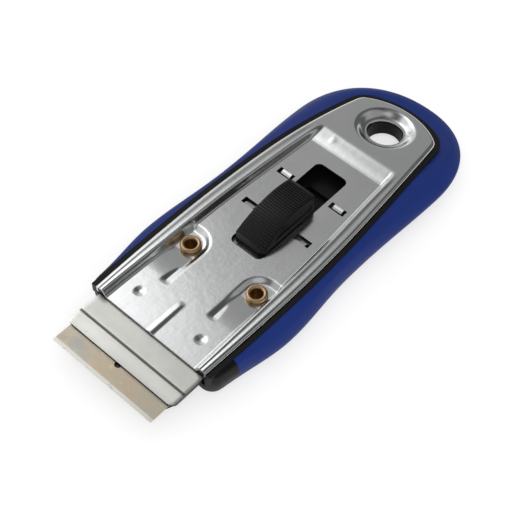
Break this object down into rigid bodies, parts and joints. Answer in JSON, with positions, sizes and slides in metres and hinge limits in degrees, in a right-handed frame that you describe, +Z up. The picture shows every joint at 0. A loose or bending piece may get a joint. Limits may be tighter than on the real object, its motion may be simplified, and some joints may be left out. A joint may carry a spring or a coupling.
{
  "type": "razor blade scraper",
  "caption": "Retractable razor blade scraper: soft grip body, pressed metal top plate, thumb slide, and a sheet metal holder for a single-edge blade.",
  "frame": {"origin": "middle of the bounding box at rest, at the height of the flat underside, blade fully out", "axes": "+X across the handle, +Y from the blade to the tail, +Z up out of the top plate"},
  "size_m": [0.058, 0.1474, 0.0182],
  "materials": {
    "grip_cover": "fine matt",
    "core_chassis": "fine matt",
    "top_plate": "bright, satin in the pan",
    "plate_rivets": "satin",
    "holder_base": "satin",
    "holder_cap": "satin",
    "holder_rivets": "satin",
    "blade": "ground, oiled",
    "blade_back": "dull",
    "thumb_button": "satin",
    "latch_plate": "oiled spring steel",
    "stem_clip": "oiled spring steel",
    "leaf_spring": "polished spring steel"
  },
  "bodies": {
    "handle": {"grip_cover": "grip_cover", "core_chassis": "core_chassis", "top_plate": "top_plate", "plate_rivets": "plate_rivets"},
    "carriage": {"holder_base": "holder_base", "holder_cap": "holder_cap", "holder_rivets": "holder_rivets", "leaf_spring": "leaf_spring"},
    "button": {"thumb_button": "thumb_button", "latch_plate": "latch_plate", "stem_clip": "stem_clip"},
    "blade_insert": {"blade": "blade", "blade_back": "blade_back"}
  },
  "joints": [
    {"name": "carriage_slide", "type": "slide", "parent": "handle", "child": "carriage", "axis": [0, 1, 0], "range_m": [0, 0.02]},
    {"name": "button_press", "type": "slide", "parent": "carriage", "child": "button", "axis": [0, 0, -1], "range_m": [0, 0.0009], "stiffness_N_per_m": 3000, "springref_m": -0.0004, "deforming": ["leaf_spring"]},
    {"name": "blade_slide", "type": "slide", "parent": "carriage", "child": "blade_insert", "axis": [0, -1, 0], "range_m": [0, 0.02]}
  ]
}
